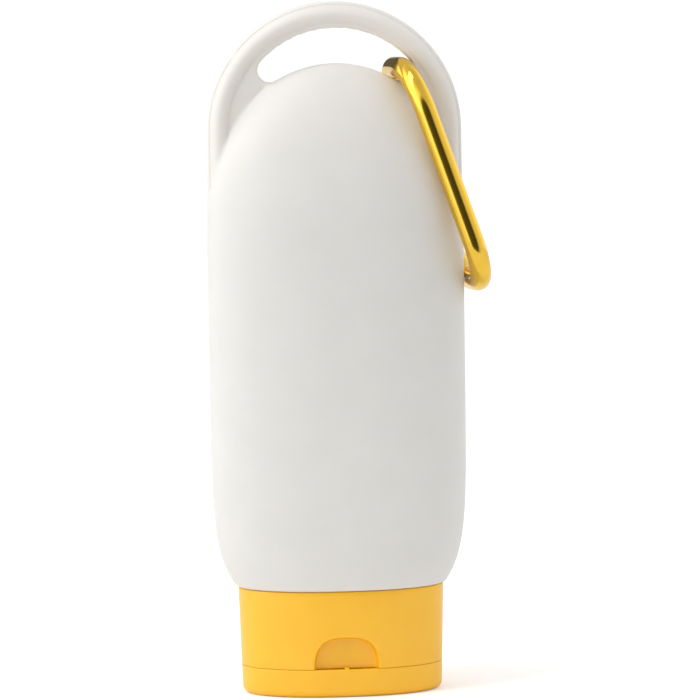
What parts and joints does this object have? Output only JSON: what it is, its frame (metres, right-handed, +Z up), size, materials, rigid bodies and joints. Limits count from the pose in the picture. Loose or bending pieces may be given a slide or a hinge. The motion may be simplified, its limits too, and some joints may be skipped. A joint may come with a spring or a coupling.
{
  "type": "sunscreen bottle",
  "caption": "Oval white squeeze bottle with a moulded handle loop, standing upside down on a yellow flip-top closure, with a gold wire clip hooked through the loop.",
  "frame": {"origin": "middle of the lid's flat face, on which the bottle stands", "axes": "+Z up along the bottle to the handle; -Y to the side with the thumb recess; +X to the side where the clip hangs"},
  "size_m": [0.0476, 0.0246, 0.117],
  "materials": {
    "bottle_plastic": "matte",
    "closure_plastic": "satin",
    "seal_foam": "matte",
    "clip_metal": "polished",
    "pin_steel": "satin"
  },
  "bodies": {
    "root": {"bottle": "bottle_plastic", "closure_base": "closure_plastic", "hinge_film": "closure_plastic", "neck_seal": "seal_foam"},
    "lid": {"closure_lid": "closure_plastic"},
    "clip": {"clip_frame": "clip_metal"},
    "gate": {"clip_gate": "clip_metal", "gate_rivet": "pin_steel", "gate_latch_pin": "pin_steel", "gate_spring": "pin_steel"},
    "plunger": {"gate_plunger": "pin_steel"}
  },
  "joints": [
    {"name": "lid_hinge", "type": "hinge", "parent": "root", "child": "lid", "pos_m": [0, 0.0095, 0.00477], "axis": [1, 0, 0], "range_deg": [0, 130], "deforming": ["hinge_film"]},
    {"name": "clip_swing", "type": "hinge", "parent": "root", "child": "clip", "pos_m": [0.01122, 0, 0.10563], "axis": [0, -1, 0], "range_deg": [0, 175]},
    {"name": "gate_hinge", "type": "hinge", "parent": "clip", "child": "gate", "pos_m": [0.01341, 0.01123, 0.09517], "axis": [-0.9373, -0.1219, -0.3264], "range_deg": [0, 9], "stiffness_Nm_per_rad": 0.0001, "springref_deg": -28.65},
    {"name": "plunger_slide", "type": "slide", "parent": "gate", "child": "plunger", "axis": [0.3289, 0, -0.9444], "range_m": [0, 0.0002], "deforming": ["gate_spring"]}
  ],
  "couplings": [
    {"joint": "plunger_slide", "follows": "gate_hinge", "m_per_rad": 0.00105}
  ]
}
